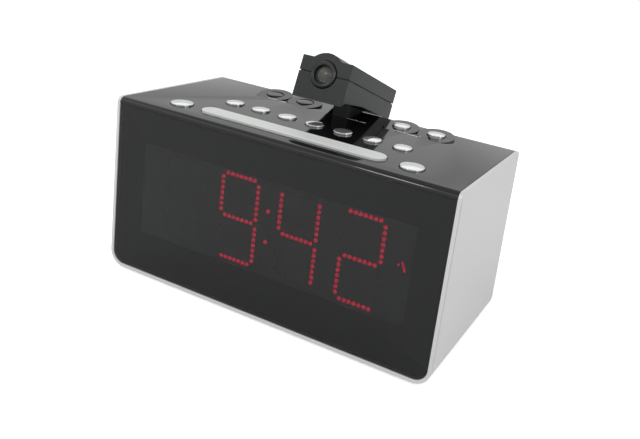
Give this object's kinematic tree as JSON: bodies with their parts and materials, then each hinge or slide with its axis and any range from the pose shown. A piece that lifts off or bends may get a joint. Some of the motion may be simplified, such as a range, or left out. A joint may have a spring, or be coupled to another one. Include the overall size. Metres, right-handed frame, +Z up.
{
  "type": "projection alarm clock",
  "caption": "Mains alarm clock with a large dotted red display behind a smoked window, domed keys and a snooze bar on top, and a projector pod that tilts on a fixed neck.",
  "frame": {"origin": "on the surface the clock stands on, under the middle of the whole object's box", "axes": "+X to the clock's right as seen from the front, +Y rearwards (the display faces -Y), +Z up"},
  "size_m": [0.1882, 0.1038, 0.131],
  "materials": {
    "silver_plastic": "satin silver paint on moulded plastic",
    "black_gloss": "polished black",
    "black_plastic": "fine matt moulding",
    "pod_plastic": "satin moulding",
    "smoked_window": "smoked acrylic",
    "mask_black": "printed black",
    "display_black": "matt",
    "dot_red": "lit red dots",
    "dot_dark": "unlit dots",
    "board_green": "solder mask",
    "parts_dark": "moulded parts",
    "key_chrome": "silver plated",
    "key_black": "polished black",
    "snooze_silver": "brushed along its length",
    "steel": "plated steel",
    "foot_rubber": "soft rubber",
    "lens_glass": "polished",
    "ring_black": "satin black",
    "slide_glass": "liquid-crystal slide",
    "led_red": "clear red",
    "core_steel": "laminated",
    "coil_tape": "yellow tape",
    "speaker_steel": "pressed steel",
    "magnet": "ferrite",
    "cone_paper": "paper",
    "cell_wrap": "cell wrap"
  },
  "bodies": {
    "housing": {"silver_shell": "silver_plastic", "top_cover": "black_gloss", "rear_cover": "black_plastic", "rubber_feet": "foot_rubber", "front_window": "smoked_window", "window_mask": "mask_black", "display_block": "display_black", "display_dots_lit": "dot_red", "display_dots_unlit": "dot_dark", "display_board": "board_green", "key_board": "board_green", "key_switches": "parts_dark", "key_board_screws": "steel", "rear_cover_screws": "steel", "neck": "pod_plastic", "neck_screws": "steel", "main_board": "board_green", "main_board_parts": "parts_dark", "transformer_core": "core_steel", "transformer_coil": "coil_tape", "speaker_frame": "speaker_steel", "speaker_magnet": "magnet", "speaker_cone": "cone_paper", "backup_cells": "cell_wrap", "battery_contacts": "steel", "lead_gland": "black_plastic"},
    "pod": {"tilt_pin": "steel", "pod_upper": "pod_plastic", "pod_lower": "pod_plastic", "pod_screws": "steel", "lens_barrel": "parts_dark", "clock_slide": "slide_glass", "projector_led": "led_red", "projector_led_board": "board_green"},
    "focus": {"focus_ring": "ring_black", "projection_lens": "lens_glass"},
    "battery_door": {"battery_door": "black_plastic"},
    "snooze_bar": {"snooze_bar": "snooze_silver"},
    "large_key_left": {"large_key_left": "key_chrome"},
    "large_key_right": {"large_key_right": "key_chrome"},
    "row_key_1": {"row_key_1": "key_chrome"},
    "row_key_2": {"row_key_2": "key_chrome"},
    "row_key_3": {"row_key_3": "key_chrome"},
    "row_key_4": {"row_key_4": "key_chrome"},
    "row_key_5": {"row_key_5": "key_chrome"},
    "row_key_6": {"row_key_6": "key_chrome"},
    "row_key_7": {"row_key_7": "key_chrome"},
    "rear_key_left_1": {"rear_key_left_1": "key_black"},
    "rear_key_left_2": {"rear_key_left_2": "key_black"},
    "rear_key_right_1": {"rear_key_right_1": "key_chrome"},
    "rear_key_right_2": {"rear_key_right_2": "key_chrome"}
  },
  "joints": [
    {"name": "projector_tilt", "type": "hinge", "parent": "housing", "child": "pod", "pos_m": [0, 0.0224, 0.10389], "axis": [1, 0, 0], "range_deg": [0, 16.5]},
    {"name": "focus_turn", "type": "hinge", "parent": "pod", "child": "focus", "pos_m": [0, -0.00825, 0.11979], "axis": [0, 0.9421, -0.3355], "range_deg": [-60, 60]},
    {"name": "battery_door_hinge", "type": "hinge", "parent": "housing", "child": "battery_door", "pos_m": [0.0301, 0.03694, 0.0356], "axis": [-1, 0, 0], "range_deg": [0, 95]},
    {"name": "snooze_bar_press", "type": "slide", "parent": "housing", "child": "snooze_bar", "axis": [0, 0, -1], "range_m": [0, 0.0006], "stiffness_N_per_m": 2500},
    {"name": "large_key_left_press", "type": "slide", "parent": "housing", "child": "large_key_left", "axis": [0, 0, -1], "range_m": [0, 0.0006], "stiffness_N_per_m": 1500},
    {"name": "large_key_right_press", "type": "slide", "parent": "housing", "child": "large_key_right", "axis": [0, 0, -1], "range_m": [0, 0.0006], "stiffness_N_per_m": 1500},
    {"name": "row_key_1_press", "type": "slide", "parent": "housing", "child": "row_key_1", "axis": [0, 0, -1], "range_m": [0, 0.0006], "stiffness_N_per_m": 1500},
    {"name": "row_key_2_press", "type": "slide", "parent": "housing", "child": "row_key_2", "axis": [0, 0, -1], "range_m": [0, 0.0006], "stiffness_N_per_m": 1500},
    {"name": "row_key_3_press", "type": "slide", "parent": "housing", "child": "row_key_3", "axis": [0, 0, -1], "range_m": [0, 0.0006], "stiffness_N_per_m": 1500},
    {"name": "row_key_4_press", "type": "slide", "parent": "housing", "child": "row_key_4", "axis": [0, 0, -1], "range_m": [0, 0.0006], "stiffness_N_per_m": 1500},
    {"name": "row_key_5_press", "type": "slide", "parent": "housing", "child": "row_key_5", "axis": [0, 0, -1], "range_m": [0, 0.0006], "stiffness_N_per_m": 1500},
    {"name": "row_key_6_press", "type": "slide", "parent": "housing", "child": "row_key_6", "axis": [0, 0, -1], "range_m": [0, 0.0006], "stiffness_N_per_m": 1500},
    {"name": "row_key_7_press", "type": "slide", "parent": "housing", "child": "row_key_7", "axis": [0, 0, -1], "range_m": [0, 0.0006], "stiffness_N_per_m": 1500},
    {"name": "rear_key_left_1_press", "type": "slide", "parent": "housing", "child": "rear_key_left_1", "axis": [0, 0, -1], "range_m": [0, 0.0006], "stiffness_N_per_m": 1500},
    {"name": "rear_key_left_2_press", "type": "slide", "parent": "housing", "child": "rear_key_left_2", "axis": [0, 0, -1], "range_m": [0, 0.0006], "stiffness_N_per_m": 1500},
    {"name": "rear_key_right_1_press", "type": "slide", "parent": "housing", "child": "rear_key_right_1", "axis": [0, 0, -1], "range_m": [0, 0.0006], "stiffness_N_per_m": 1500},
    {"name": "rear_key_right_2_press", "type": "slide", "parent": "housing", "child": "rear_key_right_2", "axis": [0, 0, -1], "range_m": [0, 0.0006], "stiffness_N_per_m": 1500}
  ]
}
